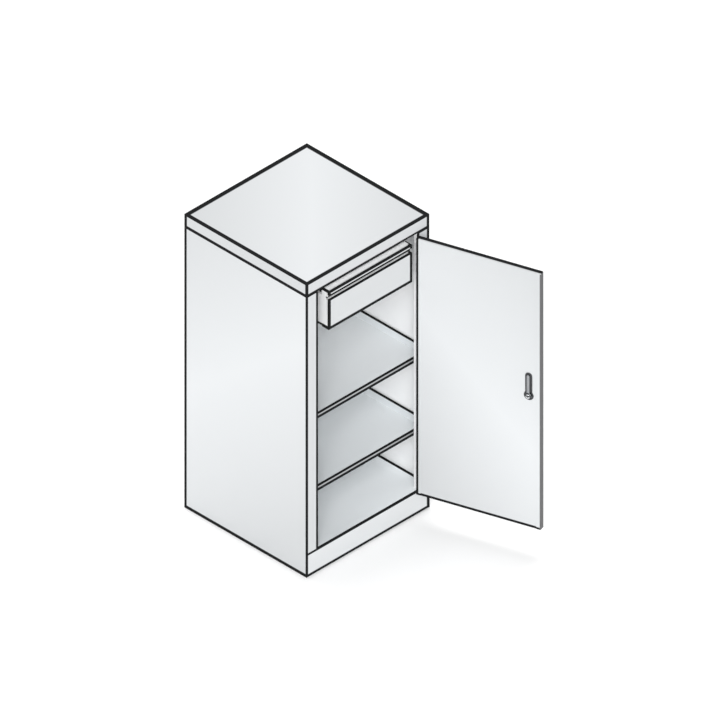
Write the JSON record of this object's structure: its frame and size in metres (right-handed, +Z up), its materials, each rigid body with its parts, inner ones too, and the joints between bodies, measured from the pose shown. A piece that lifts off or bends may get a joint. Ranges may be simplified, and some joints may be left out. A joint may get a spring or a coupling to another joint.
{
  "type": "steel storage cabinet",
  "caption": "Upright folded-steel storage cabinet on a plinth, with an inset side-hinged lockable door, shelves behind it and a roller-runner drawer under the top.",
  "frame": {"origin": "middle of the cabinet's footprint, on the floor", "axes": "+Z up; the front with the door and drawer faces -Y; +X is to the right seen from the front, on the hinge side"},
  "size_m": [0.5948, 0.8931, 1.034],
  "materials": {
    "powder_coat": "light grey powder coat, semi-gloss, fine orange peel",
    "powder_coat_inner": "light grey powder coat on inner sheets",
    "zinc_plate": "bright zinc plate",
    "hinge_steel": "light grey powder coat on the hinges",
    "black_nylon": "fine-grained black nylon",
    "black_zinc": "black zinc plate",
    "lock_chrome": "satin chrome",
    "roller_nylon": "natural white nylon",
    "buffer_rubber": "matt black rubber"
  },
  "bodies": {
    "cabinet": {"left_side_panel": "powder_coat", "right_side_panel": "powder_coat", "back_panel": "powder_coat_inner", "plinth_frame": "powder_coat", "floor_panel": "powder_coat_inner", "top_cover": "powder_coat", "top_front_rail": "powder_coat_inner", "door_buffers": "buffer_rubber", "upper_shelf": "powder_coat_inner", "lower_shelf": "powder_coat_inner", "upper_shelf_brackets": "zinc_plate", "lower_shelf_brackets": "zinc_plate", "left_runner_hanger": "zinc_plate", "right_runner_hanger": "zinc_plate", "left_cabinet_rail": "zinc_plate", "right_cabinet_rail": "zinc_plate", "upper_hinge_frame_leaf": "hinge_steel", "lower_hinge_frame_leaf": "hinge_steel", "upper_hinge_pin": "zinc_plate", "lower_hinge_pin": "zinc_plate", "hinge_frame_screws": "zinc_plate"},
    "door": {"door_outer_panel": "powder_coat", "door_inner_panel": "powder_coat", "door_stiffener": "powder_coat_inner", "upper_hinge_door_leaf": "hinge_steel", "lower_hinge_door_leaf": "hinge_steel", "hinge_door_screws": "zinc_plate", "handle_rose": "black_nylon", "lock_case": "black_nylon"},
    "handle": {"turn_handle": "black_nylon", "spindle": "black_zinc", "latch_cam": "zinc_plate", "cam_nut": "black_zinc"},
    "lock_plug": {"lock_plug": "lock_chrome"},
    "drawer": {"drawer_front": "powder_coat", "drawer_box": "powder_coat_inner", "left_drawer_rail": "zinc_plate", "right_drawer_rail": "zinc_plate"},
    "front_left_roller": {"front_left_roller": "roller_nylon"},
    "front_right_roller": {"front_right_roller": "roller_nylon"},
    "rear_left_roller": {"rear_left_roller": "roller_nylon"},
    "rear_right_roller": {"rear_right_roller": "roller_nylon"}
  },
  "joints": [
    {"name": "door_swing", "type": "hinge", "parent": "cabinet", "child": "door", "pos_m": [0.20175, -0.255, 0.537], "axis": [0, 0, 1], "range_deg": [-108.5, 61.5]},
    {"name": "handle_turn", "type": "hinge", "parent": "door", "child": "handle", "pos_m": [0.31259, -0.60201, 0.55], "axis": [0.9483, 0.3173, 0], "range_deg": [0, 90]},
    {"name": "lock_turn", "type": "hinge", "parent": "handle", "child": "lock_plug", "pos_m": [0.34104, -0.59249, 0.55], "axis": [0.9483, 0.3173, 0], "range_deg": [0, 90]},
    {"name": "drawer_slide", "type": "slide", "parent": "cabinet", "child": "drawer", "axis": [0, -1, 0], "range_m": [-0.0381, 0.29]},
    {"name": "front_left_roller_spin", "type": "hinge", "parent": "cabinet", "child": "front_left_roller", "pos_m": [-0.1734, -0.1593, 0.885], "axis": [1, 0, 0], "range_deg": [-227, 1715]},
    {"name": "front_right_roller_spin", "type": "hinge", "parent": "cabinet", "child": "front_right_roller", "pos_m": [0.1734, -0.1593, 0.885], "axis": [1, 0, 0], "range_deg": [-227, 1715]},
    {"name": "rear_left_roller_spin", "type": "hinge", "parent": "drawer", "child": "rear_left_roller", "pos_m": [-0.179, 0.1653, 0.885], "axis": [1, 0, 0], "range_deg": [-227, 1715]},
    {"name": "rear_right_roller_spin", "type": "hinge", "parent": "drawer", "child": "rear_right_roller", "pos_m": [0.179, 0.1653, 0.885], "axis": [1, 0, 0], "range_deg": [-227, 1715]}
  ],
  "couplings": [
    {"joint": "drawer_slide", "follows": "door_swing", "m_per_rad": 0.020066},
    {"joint": "front_left_roller_spin", "follows": "door_swing", "ratio": 2.0687},
    {"joint": "front_right_roller_spin", "follows": "door_swing", "ratio": 2.0687},
    {"joint": "rear_left_roller_spin", "follows": "door_swing", "ratio": 2.0687},
    {"joint": "rear_right_roller_spin", "follows": "door_swing", "ratio": 2.0687}
  ]
}
